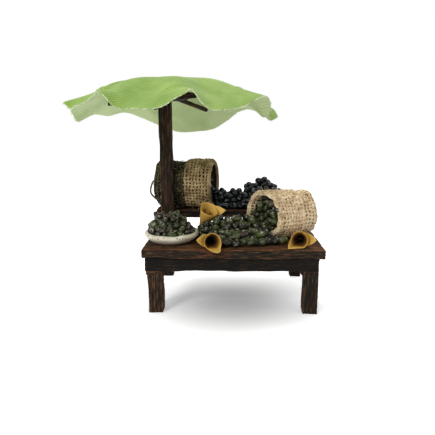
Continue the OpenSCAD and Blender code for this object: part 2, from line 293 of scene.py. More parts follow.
# Splinters and hairs stand out of the sawn edges. The same tree grows every loose fibre.
fibre_tree = bpy.data.node_groups.new("loose_fibres", "GeometryNodeTree")
fibre_tree.interface.new_socket("Seeds", in_out="INPUT", socket_type="NodeSocketGeometry")
fibre_sizes = {"Length": 1.0, "Thickness": 0.1, "Bend": 0.3, "Lean": 0.6}
for size, value in fibre_sizes.items():
    socket = fibre_tree.interface.new_socket(size, in_out="INPUT", socket_type="NodeSocketFloat")
    socket.default_value = value
fibre_tree.interface.new_socket("Finish", in_out="INPUT", socket_type="NodeSocketMaterial")
fibre_tree.interface.new_socket("Fibres", in_out="OUTPUT", socket_type="NodeSocketGeometry")
given = add(fibre_tree, "NodeGroupInput").outputs
knee = add(fibre_tree, "ShaderNodeCombineXYZ", {0: given["Bend"], 2: given["Length"]})
knee = add(fibre_tree, "ShaderNodeVectorMath", {0: knee.outputs[0], 1: (1.0, 1.0, 0.55)},
           operation="MULTIPLY")
tip = add(fibre_tree, "ShaderNodeCombineXYZ", {2: given["Length"]})
bow = add(fibre_tree, "GeometryNodeCurveQuadraticBezier",
          {"Resolution": 4, "Start": (0, 0, 0), "Middle": knee.outputs[0], "End": tip.outputs[0]})
section = add(fibre_tree, "GeometryNodeCurvePrimitiveCircle", {"Resolution": 3,
                                                               "Radius": given["Thickness"]})
strand = add(fibre_tree, "GeometryNodeCurveToMesh", {"Curve": bow.outputs[0],
                                                     "Profile Curve": section.outputs[0],
                                                     "Fill Caps": True})
way = add(fibre_tree, "GeometryNodeInputNamedAttribute", {"Name": "way"}, data_type="FLOAT_VECTOR")
upright = add(fibre_tree, "FunctionNodeAlignRotationToVector", {"Vector": way.outputs[0]}, axis="Z")
low_lean = add(fibre_tree, "ShaderNodeMath", {0: given["Lean"], 1: -1.0}, operation="MULTIPLY")
low_turn = add(fibre_tree, "ShaderNodeCombineXYZ", {0: low_lean.outputs[0],
                                                    1: low_lean.outputs[0], 2: -3.1})
high_turn = add(fibre_tree, "ShaderNodeCombineXYZ", {0: given["Lean"], 1: given["Lean"], 2: 3.1})
random_turn = add(fibre_tree, "FunctionNodeRandomValue", {0: low_turn.outputs[0],
                                                          1: high_turn.outputs[0], "Seed": 3},
                  data_type="FLOAT_VECTOR")
turned = add(fibre_tree, "FunctionNodeRotateRotation", {"Rotation": upright.outputs[0],
                                                        "Rotate By": random_turn.outputs[0]},
             rotation_space="LOCAL")
random_size = add(fibre_tree, "FunctionNodeRandomValue", {2: 0.45, 3: 1.25, "Seed": 8},
                  data_type="FLOAT")
planted = add(fibre_tree, "GeometryNodeInstanceOnPoints",
              {"Points": given["Seeds"], "Instance": strand.outputs[0], "Rotation": turned.outputs[0],
               "Scale": random_size.outputs[1]})
solid = add(fibre_tree, "GeometryNodeRealizeInstances", {0: planted.outputs[0]})
smooth = add(fibre_tree, "GeometryNodeSetShadeSmooth", {0: solid.outputs[0]})
coated = add(fibre_tree, "GeometryNodeSetMaterial", {"Geometry": smooth.outputs[0],
                                                     "Material": given["Finish"]})
add(fibre_tree, "NodeGroupOutput", {0: coated.outputs[0]})


def grow(name, tree, seeds, attributes, sizes):
    """Runs a Geometry Nodes tree on seed points in millimetres and keeps the result as a mesh."""
    mesh = bpy.data.meshes.new(name + "_seeds")
    mesh.from_pydata((np.asarray(seeds, dtype=float) * MM).tolist(), [], [])
    for attribute, (kind, field, values) in attributes.items():
        data = mesh.attributes.new(attribute, kind, "POINT").data
        data.foreach_set(field, np.asarray(values, dtype=float).ravel())
    seed_object = bpy.data.objects.new(name + "_seeds", mesh)
    bpy.context.collection.objects.link(seed_object)
    modifier = seed_object.modifiers.new("grow", "NODES")
    modifier.node_group = tree
    for socket in tree.interface.items_tree:
        if socket.in_out == "INPUT" and socket.name in sizes:
            modifier[socket.identifier] = sizes[socket.name]
    evaluated = seed_object.evaluated_get(bpy.context.evaluated_depsgraph_get())
    grown = bpy.data.meshes.new_from_object(evaluated)
    grown.name = name
    bpy.data.objects.remove(seed_object)
    made = bpy.data.objects.new(name, grown)
    bpy.context.collection.objects.link(made)
    return made


def mottled(name, scale, detail, stops, roughness):
    """A dull plain finish, clouded between two colours. Scale is clouds to the metre."""
    material, tree, shader = new_material(name)
    place = add(tree, "ShaderNodeTexCoord")
    cloud = add(tree, "ShaderNodeTexNoise", {"Vector": place.outputs["Object"], "Scale": scale,
                                             "Detail": detail})
    colour = add(tree, "ShaderNodeValToRGB", {"Fac": cloud.outputs["Fac"]}, stops=stops)
    tree.links.new(colour.outputs[0], shader.inputs["Base Color"])
    shader.inputs["Roughness"].default_value = roughness
    return material


# Torn wood: some splinters took the stain, some show brown, in clouds of 3 mm
raw_splinter = mottled("dark wood splinters", 300.0, 2.0, ((0.4, "#1A120C"), (0.65, "#5A4029")), 0.85)
splinter_sink = 0.45
splinter_thick = 0.07


def splinters(name, low, high, along, count, length):
    """Fine splinters along the four long edges of a stick."""
    across = [axis for axis in range(3) if axis != along]
    middle = (low + high) / 2
    seeds, ways = [], []
    for _ in range(count):
        seed, way = Vector(), Vector()
        seed[along] = draw.uniform(low[along] + 1, high[along] - 1)
        for axis in across:
            seed[axis] = draw.choice((low[axis], high[axis]))
            way[axis] = math.copysign(1.0, seed[axis] - middle[axis])
            seed[axis] -= way[axis] * splinter_sink
        way[along] = draw.uniform(-1.5, 1.5)
        seeds.append(seed)
        ways.append(way)
    made = grow(name, fibre_tree, seeds, {"way": ("FLOAT_VECTOR", "vector", ways)},
                {"Length": length * MM, "Thickness": splinter_thick * MM, "Bend": 0.3 * length * MM,
                 "Lean": 0.5, "Finish": raw_splinter})
    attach(made, "root")


# node: axis of its grain (0 left to right, 1 front to back, 2 up), how rough and how pale it is
timbers = {"front_board": (0, 1.2, 0.06), "back_board": (0, 1.0, -0.04),
           "front_apron": (0, 1.3, -0.19), "back_apron": (0, 1.3, -0.1),
           "left_apron": (1, 1.0, -0.08), "right_apron": (1, 1.0, -0.08),
           "front_left_leg": (2, 1.5, 0.11), "front_right_leg": (2, 1.5, -0.02),
           "back_left_leg": (2, 1.2, -0.1), "back_right_leg": (2, 1.2, -0.1)}
for node, (along, roughness, paleness) in timbers.items():
    low, high = box_of(node)
    made = rough_stick(f"sawn_{node}", low, high, along, roughness, paleness)
    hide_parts(node)
    splinters(f"splinters_{node}", low, high, along, 60 if along == 2 else 40, 1.1)

# Lumps of glue and sawdust fill the corners where the front legs meet the apron, and a
# strip of bark is left on the left leg
apron_low, _ = box_of("front_apron")
lump_half_wide, lump_half_tall, lump_inset, lump_turn = 2.1, 3.4, 0.5, 35
for node, side in (("front_left_leg", 1), ("front_right_leg", -1)):
    low, high = box_of(node)
    inner = high.x if side > 0 else low.x
    leg_middle = (low.y + high.y) / 2
    corner = (Matrix.Translation((inner, leg_middle, apron_low.z))
              @ Matrix.Rotation(math.radians(lump_turn * side), 4, "Y"))
    lump_low = (-lump_half_wide, low.y - leg_middle + lump_inset, -lump_half_tall)
    lump_high = (lump_half_wide, (high.y - low.y) / 2 - lump_inset, lump_half_tall)
    rough_stick(f"glue_corner_{node}", lump_low, lump_high, 2, 1.0, -0.06, corner)
low, high = box_of("front_left_leg")
bark_low = (low.x - 0.9, low.y - 0.5, apron_low.z - 2.3)
bark_high = (low.x + 4.3, low.y + 1.6, apron_low.z - 0.2)
rough_stick("bark_front_left_leg", bark_low, bark_high, 0, 1.3, 0.12)

# ---------------------------------------------------------------------------------------
# The sunshade's frame: a square post through the gap between the boards, a round hub
# plate glued near its top, and eight thin sticks that spread from the hub to the cloth.
# All are cut from the same stained strip as the table.
# ---------------------------------------------------------------------------------------

post_low, post_high = box_of("sunshade_post")
post = rough_stick("sawn_sunshade_post", post_low, post_high, along=2, roughness=0.9, paleness=0.03)
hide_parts("sunshade_post")
splinters("splinters_sunshade_post", post_low, post_high, 2, 70, 1.0)
post_middle = (post_low + post_high) / 2
post_half = (post_high.x - post_low.x) / 2


def corners_of(node):
    """The separate corners of a CAD node, in millimetres."""
    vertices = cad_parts[node].data.vertices
    return np.unique(np.array([v.co for v in vertices]).round(6), axis=0) / MM


rib_nodes = [f"sunshade_rib_{count}" for count in range(1, 9)]
rib_lines = []
for node in rib_nodes:
    corners = corners_of(node)
    middle = corners.mean(axis=0)
    reach = corners - middle
    # The stick's length is the way in which its corners spread furthest
    length_way = Vector(np.linalg.svd(reach)[2][0])
    if length_way.dot(Vector(middle) - post_middle) < 0:
        length_way.negate()
    side_way = Vector((0, 0, 1)).cross(length_way).normalized()
    axes = Matrix((length_way, side_way, length_way.cross(side_way))).transposed()
    half = np.abs(reach @ np.array(axes)).max(axis=0)
    place = Matrix.Translation(middle) @ axes.to_4x4()
    stick = rough_stick(f"sawn_{node}", -half, half, along=0, roughness=0.5, paleness=0.0, place=place)
    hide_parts(node)
    to_end = length_way * half[0]
    rib_lines.append((Vector(middle) - to_end, Vector(middle) + to_end, half[2]))

# The plate is turned round the post, so it is a ring with its bore hidden in the post
hub_low, hub_high = box_of("sunshade_hub")
hub_radius = (hub_high.x - hub_low.x) / 2
hub_around = 90
hidden = 0.4
bore = post_half - hidden
rim = 0.4
saw_mark_deep, face_rough = 0.35, 0.12
hub_profile = [(bore, hub_high.z), (hub_radius * 0.6, hub_high.z), (hub_radius - rim, hub_high.z),
               (hub_radius, hub_high.z - rim), (hub_radius, hub_low.z + rim),
               (hub_radius - rim, hub_low.z), (hub_radius * 0.6, hub_low.z), (bore, hub_low.z)]
points, faces = [], []
for step in range(hub_around):
    angle = math.tau * step / hub_around
    way = Vector((math.cos(angle), math.sin(angle), 0))
    saw_mark = saw_mark_deep * noise.noise(way * 5)
    for radius, height in hub_profile:
        out = radius + (saw_mark if radius > bore else 0)
        points.append((post_middle.x + out * way.x, post_middle.y + out * way.y,
                       height + face_rough * noise.noise(way * out * 0.4)))
    for row in range(len(hub_profile)):
        here, after = step * len(hub_profile), (step + 1) % hub_around * len(hub_profile)
        below = (row + 1) % len(hub_profile)
        faces.append((here + row, here + below, after + below, after + row))
hub = make_piece("sawn_sunshade_hub", points, faces, stained_pine, smooth=False)
hub.data.attributes.new("grain", "FLOAT_VECTOR", "POINT").data.foreach_set("vector", np.ravel(points))
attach(hub, "root")
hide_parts("sunshade_hub")

# ---------------------------------------------------------------------------------------
# The sunshade's cloth: a round of plain-woven green cotton, cut with a raw edge, laid
# over the hub and the sticks and glued there. Its edge falls in uneven folds.
# ---------------------------------------------------------------------------------------

cloth_low, cloth_high = box_of("sunshade_cloth")
cloth_middle = (cloth_low + cloth_high) / 2
cloth_radius = (cloth_high.x - cloth_low.x) / 2
cloth_thickness = 0.4
crown = cloth_high.z - 0.1
shoulder_share = 0.6

# Height of the raw edge: angle from the right, counted to the back, and millimetres
hem = ((2, 109.5), (7, 114), (15, 109), (26, 113), (38, 115), (47, 113), (57, 107), (65, 102),
       (77, 99.8), (90, 99.2), (105, 104.4), (117, 110), (128, 113.5), (139, 111), (150, 111.8),
       (158, 108.6), (165, 106.8), (172, 111), (184, 113.8), (194, 115.2), (202, 116.8),
       (210, 113.6), (216, 112.9), (225, 113.7), (234, 114.6), (240, 115.9), (244, 118.1),
       (248, 120), (251, 117), (255, 113), (264, 112.1), (277, 113.3), (281, 116), (285, 118.2),
       (288.6, 120.6), (291.4, 115.7), (295.4, 111.8), (303, 111.6), (315, 113.9), (323, 117.4),
       (328, 118.9), (336, 117.7), (342, 114.8), (350, 107.2), (356, 107))
# Height of the cloth six tenths of the way out
shoulder = ((0, 126.6), (30, 127.3), (60, 126), (90, 124.5), (120, 125.2), (150, 124.8),
            (170, 125.2), (190, 126.2), (205, 126.0), (215, 125.0), (248, 126.4), (268, 124.4),
            (289, 127.2), (304, 124.6), (330, 127.2))
# How far out the edge is cut, as a share of the cloth's radius
cut = ((2, 1.035), (7, 1.0), (60, 0.98), (75, 0.94), (90, 0.92), (102, 0.95), (120, 0.99),
       (174, 0.97), (184, 0.91), (194, 0.915), (202, 0.935), (210, 0.9), (216, 0.895),
       (226, 0.93), (236, 0.97),
       (248, 0.99), (300, 1.0), (336, 1.0), (342, 0.985), (350, 0.95), (356, 0.985))


def around_loop(knots, angles):
    """Smooth values round a closed loop, through the knots, at angles in degrees."""
    places = np.array([k[0] for k in knots[-2:] + knots + knots[:2]], dtype=float)
    places[:2] -= 360
    places[-2:] += 360
    values = np.array([k[1] for k in knots[-2:] + knots + knots[:2]], dtype=float)
    slopes = np.gradient(values, places)
    before = np.searchsorted(places, angles, side="right") - 1
    gap = places[before + 1] - places[before]
    return ease(values[before], slopes[before] * gap, values[before + 1], slopes[before + 1] * gap,
                (angles - places[before]) / gap)


def ease(start, start_slope, end, end_slope, t):
    """A cubic from start to end as t goes from 0 to 1, with those slopes at its ends."""
    return (start * (2 * t ** 3 - 3 * t ** 2 + 1) + start_slope * (t ** 3 - 2 * t ** 2 + t)
            + end * (3 * t ** 2 - 2 * t ** 3) + end_slope * (t ** 3 - t ** 2))


cloth_around, cloth_rings = 400, 50
ring_shares = np.append(np.linspace(0, 0.988, cloth_rings)[1:], [0.994, 1.0])
angles = np.arange(cloth_around) * 360 / cloth_around
turns = np.radians(angles)
hem_waves = np.fft.rfft(around_loop(hem, angles))
wave_number = np.arange(len(hem_waves))
shoulder_line = around_loop(shoulder, angles)
drop = crown - shoulder_line
# From the crown to the shoulder the cloth falls by a sum of a square and a fifth power, whose
# slope at the shoulder carries on into the fall to the edge
square_share, fifth_share = 0.2, 0.8
shoulder_slope = 2 * square_share + 5 * fifth_share
edge_slope = 1.15
fold_spread, fold_fading = 0.62, 1.15
reach = cloth_radius * around_loop(cut, angles)
points = [(cloth_middle.x, cloth_middle.y, crown)]
for share in ring_shares:
    # A fold is sharp at the edge and spreads out towards the crown
    spread = fold_spread * (1 - share) ** fold_fading
    edge_line = np.fft.irfft(hem_waves * np.exp(-(wave_number * spread) ** 2 / 2), cloth_around)
    if share <= shoulder_share:
        t = share / shoulder_share
        height = crown - drop * (square_share * t ** 2 + fifth_share * t ** 5)
    else:
        t = (share - shoulder_share) / (1 - shoulder_share)
        slope = -shoulder_slope * drop * (1 - shoulder_share) / shoulder_share
        height = ease(shoulder_line, slope, edge_line, (edge_line - shoulder_line) * edge_slope, t)
    points += list(zip(cloth_middle.x + share * reach * np.cos(turns),
                       cloth_middle.y + share * reach * np.sin(turns), height))
points = np.array(points)
# The cloth is tented over each stick: it stays above the stick and falls away beside it
tent_lift, fall_beside, fall_past, tent_round = 0.6, 0.2, 0.5, 0.2
for inner, outer, half in rib_lines:
    way = Vector((outer.x - inner.x, outer.y - inner.y))
    offset = points[:, :2] - np.array(inner.xy)
    along = offset @ np.array(way) / way.length_squared
    aside = np.abs(offset @ np.array(way.orthogonal().normalized()))
    past = np.maximum(0, along - 1) * way.length
    over = inner.z + (outer.z - inner.z) * np.clip(along, 0, 1) + half + tent_lift
    over = over - fall_beside * np.maximum(0, aside - half) ** 1.5 - fall_past * past ** 1.5
    over[along < 0] = 0
    middle = (points[:, 2] + over) / 2
    points[:, 2] = middle + np.sqrt((points[:, 2] - middle) ** 2 + tent_round ** 2)
# The cloth is pinched in beside its left fold
dent_middle, dent_reach, dent_deep = (-34.0, -21.0), 7.0, 0.9
from_dent = np.hypot(points[:, 0] - dent_middle[0], points[:, 1] - dent_middle[1])
points[:, 2] -= dent_deep * np.exp(-(from_dent / dent_reach) ** 2)
# Slow waves 11 mm long and 0.35 mm deep, and small ones 3 mm long and 0.06 mm deep
for point in points:
    point[2] += 0.35 * noise.noise(Vector(point) * 0.09) + 0.06 * noise.noise(Vector(point) * 0.35)

faces = [(0, 1 + i, 1 + (i + 1) % cloth_around) for i in range(cloth_around)]
for ring in range(len(ring_shares) - 1):
    for i in range(cloth_around):
        here, after = 1 + ring * cloth_around + i, 1 + ring * cloth_around + (i + 1) % cloth_around
        faces.append((here, here + cloth_around, after + cloth_around, after))

# Threads are about 0.4 mm apart; the weave is drawn at 1.75 mm so that it shows
thread_pitch = 1.75
weave_turn = 7


def woven_cotton(name, light, deep):
    """Green plain-woven cotton, dull and slightly uneven in its dye."""
    material, tree, shader = new_material(name)
    cut_place = add(tree, "ShaderNodeUVMap", uv_map="cut")
    turned = add(tree, "ShaderNodeMapping", {"Vector": cut_place.outputs[0],
                                             "Rotation": (0, 0, math.radians(weave_turn)),
                                             "Scale": [math.tau / thread_pitch] * 3})
    parts = add(tree, "ShaderNodeSeparateXYZ", {0: turned.outputs[0]})
    warp = add(tree, "ShaderNodeMath", {0: parts.outputs[0]}, operation="SINE")
    weft = add(tree, "ShaderNodeMath", {0: parts.outputs[1]}, operation="SINE")
    weave = add(tree, "ShaderNodeMath", {0: warp.outputs[0], 1: weft.outputs[0]}, operation="MULTIPLY")
    # The dye took in clouds about 22 mm across
    dye = add(tree, "ShaderNodeTexNoise", {"Vector": cut_place.outputs[0], "Scale": 0.045,
                                           "Detail": 4.0, "Roughness": 0.6})
    tone = add(tree, "ShaderNodeMath", {0: weave.outputs[0], 1: 0.2, 2: dye.outputs["Fac"]},
               operation="MULTIPLY_ADD")
    colour = add(tree, "ShaderNodeValToRGB", {"Fac": tone.outputs[0]},
                 stops=((0.35, deep), (0.63, light)))
    edge = add(tree, "ShaderNodeAttribute", attribute_name="raw_edge")
    pale = add(tree, "ShaderNodeMix", {0: edge.outputs["Fac"], 6: colour.outputs[0],
                                       7: linear("#DDE9BE")}, data_type="RGBA")
    tree.links.new(pale.outputs[2], shader.inputs["Base Color"])
    shader.inputs["Roughness"].default_value = 0.85
    shader.inputs["Specular IOR Level"].default_value = 0.25
    shader.inputs["Sheen Weight"].default_value = 0.12
    bump = add(tree, "ShaderNodeBump", {"Height": weave.outputs[0], "Strength": 0.35,
                                        "Distance": 0.2 * MM})
    tree.links.new(bump.outputs[0], shader.inputs["Normal"])
    return material


cotton_top = woven_cotton("woven cotton, dyed face", "#8EA953", "#6A8B2B")
# The back is a paler cotton, made paler still as painted light that stands for light through the thin
# cloth
cotton_back_with_painted_light = woven_cotton("woven cotton, paler back with painted light", "#D6E6AE", "#B9D08E")
cloth = make_piece("cotton_sunshade_cloth", points, faces, cotton_top)
cloth.data.materials.append(cotton_back_with_painted_light)
edge_place = np.stack([reach * np.cos(turns), reach * np.sin(turns)], 1)
flat = np.concatenate([[(0, 0)]] + [share * edge_place for share in ring_shares])
loop_vertices = np.array([loop.vertex_index for loop in cloth.data.loops])
cloth.data.uv_layers.new(name="cut").data.foreach_set("uv", flat[loop_vertices].ravel())
raw_edge = np.zeros(len(points))
raw_edge[-cloth_around:] = [draw.uniform(0.1, 1.0) for _ in range(cloth_around)]
cloth.data.attributes.new("raw_edge", "FLOAT", "POINT").data.foreach_set("value", raw_edge)
skin = cloth.modifiers.new("thickness", "SOLIDIFY")
skin.thickness = cloth_thickness * MM
skin.offset = -1
skin.material_offset = 1
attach(cloth, "root")
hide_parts("sunshade_cloth")

# Short ends of thread stand out of the raw edge. The dye missed many, which look nearly white.
raw_thread = mottled("raw cotton thread ends", 300.0, 2.0, ((0.35, "#B5CF86"), (0.6, "#EEF4DC")), 0.9)
thread_ends = 700
downward = -20
edge_points, edge_ways = [], []
edge_ring = points[-cloth_around:]
for _ in range(thread_ends):
    at = draw.uniform(0, cloth_around)
    one, two = edge_ring[int(at) % cloth_around], edge_ring[int(at + 1) % cloth_around]
    edge_points.append(one + (two - one) * (at % 1) - [0, 0, cloth_thickness / 2])
    outward = edge_points[-1] - np.array(cloth_middle)
    edge_ways.append((outward[0], outward[1], downward))
threads = grow("cotton_edge_threads", fibre_tree, edge_points,
               {"way": ("FLOAT_VECTOR", "vector", edge_ways)},
               {"Length": 0.8 * MM, "Thickness": 0.1 * MM, "Bend": 0.25 * MM, "Lean": 0.5,
                "Finish": raw_thread})
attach(threads, "root")

# ---------------------------------------------------------------------------------------
# The two sacks: coarse open-woven jute, about a thread every 2 mm, sewn into a tube,
# gathered at the closed end, with the top turned back into a cuff. They lie on their
# sides, glued to the boards, and a dark lining keeps their filling in.
# ---------------------------------------------------------------------------------------


def jute(name, pale, mid, dark):
    """Jute yarn: dry twisted plant fibre, straw to brown, with dark tones that are partly dirt and
    partly painted shade for the hollows between its threads.
    """
    material, tree, shader = new_material(name)
    strand = add(tree, "ShaderNodeAttribute", attribute_name="strand")
    # Fibres wind round the yarn at a slant, about 0.3 mm apart
    twisted = add(tree, "ShaderNodeMapping", {"Vector": strand.outputs["Vector"],
                                              "Scale": (1.1, 2.6, 1.0)})
    fibre = add(tree, "ShaderNodeTexNoise", {"Vector": twisted.outputs[0], "Scale": 1.6, "Detail": 4.0,
                                             "Roughness": 0.7, "Distortion": 0.8})
    place = add(tree, "ShaderNodeTexCoord")
    # Dirt and the painted shade lie in patches about 6 mm across
    patch = add(tree, "ShaderNodeTexNoise", {"Vector": place.outputs["Object"], "Scale": 160.0,
                                             "Detail": 3.0})
    tone = add(tree, "ShaderNodeMath", {0: patch.outputs["Fac"], 1: 0.55, 2: fibre.outputs["Fac"]},
               operation="MULTIPLY_ADD")
    colour = add(tree, "ShaderNodeValToRGB", {"Fac": tone.outputs[0]},
                 stops=((0.52, dark), (0.74, mid), (0.98, pale)))
    tree.links.new(colour.outputs[0], shader.inputs["Base Color"])
    shader.inputs["Roughness"].default_value = 0.9
    shader.inputs["Specular IOR Level"].default_value = 0.2
    shader.inputs["Sheen Weight"].default_value = 0.15
    bump = add(tree, "ShaderNodeBump", {"Height": fibre.outputs["Fac"], "Strength": 0.8,
                                        "Distance": 0.25 * MM})
    tree.links.new(bump.outputs[0], shader.inputs["Normal"])
    return material


pale_jute = jute("jute yarn, pale", "#FFF3DA", "#DABE93", "#452A15")
# The back sack's cuff is browner than the front sack's yarn, and its body darker still
brown_jute = jute("jute yarn, browner", "#EAD2A2", "#94794F", "#150E07")
dark_jute = jute("jute yarn, dark", "#6E6740", "#2B2718", "#0D0B07")


# The plain cloth under the weave, rough by the millimetre, shows as the colour of its holes
dark_cloth = mottled("dark sack lining", 900.0, 3.0, ((0.35, "#0E0B07"), (0.7, "#2E2416")), 0.95)
brown_cloth = mottled("brown sack lining", 900.0, 3.0, ((0.35, "#3A2415"), (0.7, "#7A5434")), 0.95)

yarn_pitch = 2.2
# Half widths of the yarns that run round a sack and along it, and half their thickness
ring_wide, length_wide, yarn_thick = 0.77, 0.57, 0.5
# How far a yarn rises and dips as it passes over and under the others
weave_lift = 0.42
yarn_steps, yarn_sides = 4, 6
# Depth of a sack's bulges and creases
sag_deep, crease_deep = 1.45, 0.9


class Sack:
    """A sack lying on its side. Along runs from the closed end to the mouth, turn round it.
    Closeness widens its yarns, and wander is how far they stray."""

    def __init__(self, closed_end, heading, radius, length, mouth_turn, seed, closeness, wander):
        self.matrix = Matrix.Translation(closed_end) @ Matrix.Rotation(math.radians(heading), 4, "Z")
        self.radius, self.length, self.mouth_turn, self.seed = radius, length, mouth_turn, seed
        self.closeness, self.wander = closeness, wander
        # How far under its axis the board is
        self.rest = radius + 0.9

    def point(self, along, turn, lift):
        """A place on the sack's skin, lifted off it, in the stall's frame."""
        end_round = 3.6
        radius = self.radius
        if along < end_round:
            t = max(0.0, along / end_round)
            radius *= math.sqrt(max(0.02, 1 - (1 - t) ** 2 * 0.97))
        here = Vector((math.cos(turn), math.sin(turn), 0))
        sag = noise.noise(Vector((here.x * 1.3, here.y * 1.3, along * 0.07 + self.seed)))
        crease = noise.noise(Vector((here.x * 2.6, here.y * 2.6, along * 0.2 + 3 * self.seed)))
        radius += lift + sag_deep * sag + crease_deep * crease
        # The rim of the mouth is cut at a slant
        side = -math.sin(turn)
        along -= side * math.tan(self.mouth_turn) * self.radius * max(0, along / self.length) ** 3
        local = Vector((along, -radius * math.sin(turn), radius * math.cos(turn)))
        # It is pressed flat where it rests
        if local.z < -self.rest:
            local.z = -self.rest + 0.12 * (local.z + self.rest)
        return self.matrix @ local

    def walls_at(self, place, margin):
        """True where a place is within a margin of the sack's wall."""
        local = self.matrix.inverted() @ place
        off_axis = math.hypot(local.y, local.z)
        in_wall = abs(off_axis - self.radius) < margin + 0.8
        return 0 < local.x < self.length + margin and in_wall


def yarn_tube(path, ways, widths):
    """A flattened tube along a path: ways point out of the cloth; widths are its half width."""
    points, faces, strand = [], [], []
    distance = 0.0
    lane = draw.uniform(0, 400)
    for step, (here, out, wide) in enumerate(zip(path, ways, widths)):
        forward = (path[min(step + 1, len(path) - 1)] - path[max(step - 1, 0)]).normalized()
        side = forward.cross(out).normalized()
        out = side.cross(forward)
        distance += (here - path[step - 1]).length if step else 0
        for corner in range(yarn_sides):
            angle = math.tau * corner / yarn_sides
            points.append(here + side * wide * math.cos(angle) + out * yarn_thick * math.sin(angle))
            strand.append((distance, angle * 0.4 + distance * 0.8, lane))
    for step in range(len(path) - 1):
        for corner in range(yarn_sides):
            here, after = step * yarn_sides + corner, step * yarn_sides + (corner + 1) % yarn_sides
            faces.append((here, here + yarn_sides, after + yarn_sides, after))
    faces.append(tuple(range(yarn_sides)))
    last = (len(path) - 1) * yarn_sides
    faces.append(tuple(last + corner for corner in reversed(range(yarn_sides))))
    return points, faces, strand


def weave(name, sack, start, end, lift, material, fold=0):
    """Woven jute round a sack between two places along it; fold is how far it turns in."""
    around = 2 * round(math.pi * sack.radius / yarn_pitch)
    rows = round((end - start) / yarn_pitch)
    pitch = (end - start) / rows
    # The radius of the rolled lip, and how much cloth a turn of it takes
    roll_radius, roll_long = 0.9, 1.6
    points, faces, strands = [], [], []

    def skin(row, turn, up):
        """A place on the cloth; past its last row it rolls over the mouth and goes inside."""
        along = start + row * pitch
        if row <= rows:
            return sack.point(along, turn, lift + up)
        past = (row - rows) * pitch
        roll = min(past / roll_long, math.pi)
        inward = max(0.0, past - roll_long * math.pi)
        return sack.point(end + roll_radius * math.sin(roll) - inward, turn,
                          lift - roll_radius * (1 - math.cos(roll)) + up * math.cos(roll))

    def run(row_of, turn_of, steps, over, is_ring):
        """Lays one yarn, round the sack if is_ring is 1 and along it if it is 0."""
        path, ways, widths = [], [], []
        for step in range(steps + 1):
            row, turn = row_of(step), turn_of(step)
            drift = sack.wander * noise.noise(Vector((row * 0.35, turn * 3, sack.seed + is_ring * 7)))
            up = over(step) * weave_lift
            path.append(skin(row + drift * is_ring, turn + drift * (1 - is_ring) * 0.12, up))
            ways.append((skin(row, turn, up + 1) - skin(row, turn, up)).normalized())
            swell = 1 + 0.22 * noise.noise(Vector((step * 0.21, row, turn * 5 + sack.seed)))
            # Yarns along the sack crowd together at its closed end, so they are narrower there
            narrow = 1.0 if is_ring else min(1.0, 0.25 + (start + row * pitch) / 6.0)
            widths.append((ring_wide if is_ring else length_wide) * sack.closeness * swell * narrow)
        more_points, more_faces, more_strand = yarn_tube(path, ways, widths)
        faces.extend([tuple(len(points) + index for index in face) for face in more_faces])
        points.extend(more_points)
        strands.extend(more_strand)

    total = rows + fold
    for row in range(total + 1):
        steps = around * yarn_steps
        run(lambda step: row, lambda step: math.tau * step / steps, steps,
            lambda step: -math.cos(math.pi * step / yarn_steps) * (-1) ** row, 1)
    for count in range(around):
        run(lambda step: step / yarn_steps - 0.4, lambda step: math.tau * count / around,
            int((total + 0.8) * yarn_steps),
            lambda step: math.cos(math.pi * (step / yarn_steps - 0.4)) * (-1) ** count, 0)
    made = make_piece(name, points, faces, material)
    strand = made.data.attributes.new("strand", "FLOAT_VECTOR", "POINT")
    strand.data.foreach_set("vector", np.ravel(strands))
    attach(made, "root")
    return made


def sack_lining(name, sack, lining):
    """The closed skin under the weave: outside, over the lip, and down to the filling."""
    # Places along the sack, each with its lift off the sack's skin
    profile = [(along, -0.7) for along in (0.0, 1.2, 3.0, 5.5)]
    profile += [(along, -0.7) for along in np.linspace(8, sack.length - 0.4, 10)]
    profile += [(sack.length - 0.3, -1.2), (sack.length - 3, -1.6), (sack.length - 10, -1.8)]
    steps = 72
    points = [sack.point(along, math.tau * step / steps, lift) for along, lift in profile
              for step in range(steps)]
    faces = []
    for row in range(len(profile) - 1):
        for step in range(steps):
            here, after = row * steps + step, row * steps + (step + 1) % steps
            faces.append((here, here + steps, after + steps, after)[::-1])
    faces.append(tuple(range(steps)))
    last = (len(profile) - 1) * steps
    faces.append(tuple(last + step for step in reversed(range(steps))))
    made = make_piece(name, points, faces, lining)
    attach(made, "root")
    return made


def sack_fuzz(name, sack, count, start, end, length, material):
    """Loose fibres that stand out of the yarn."""
    seeds, ways = [], []
    for _ in range(count):
        along, turn = draw.uniform(start, end), draw.uniform(0, math.tau)
        seed = sack.point(along, turn, 1.0)
        out = (sack.point(along, turn, 2.0) - seed).normalized()
        drift = Vector([draw.uniform(-1, 1) for _ in range(3)])
        seeds.append(seed)
        ways.append(out * 0.55 + drift)
    made = grow(name, fibre_tree, seeds, {"way": ("FLOAT_VECTOR", "vector", ways)},
                {"Length": length * MM, "Thickness": 0.07 * MM, "Bend": 0.5 * length * MM,
                 "Lean": 0.5, "Finish": material})
    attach(made, "root")
    return made


# Dry hair-thin fibre, which catches the light and looks paler than the yarn
loose_jute = mottled("loose jute fibre", 200.0, 2.0, ((0.35, "#A98A52"), (0.65, "#E8D3A2")), 0.8)

cuff_thick = 1.0
front_board_low, front_board_high = box_of("front_board")
back_board_low, back_board_high = box_of("back_board")
back_radius = 14.8
front_radius = 13.4
back_sack = Sack(Vector((back_board_low.x - 1, back_board_low.y + 14,
                         back_board_high.z + back_radius + cuff_thick)), heading=-6,
                 radius=back_radius, length=38, mouth_turn=math.radians(-3), seed=2.0,
                 closeness=0.94, wander=0.34)
front_sack = Sack(Vector((front_board_high.x - 4, front_board_high.y - 5,
                          front_board_high.z + front_radius + cuff_thick)), heading=204,
                  radius=front_radius, length=30, mouth_turn=math.radians(14), seed=5.0,
                  closeness=1.12, wander=0.5)

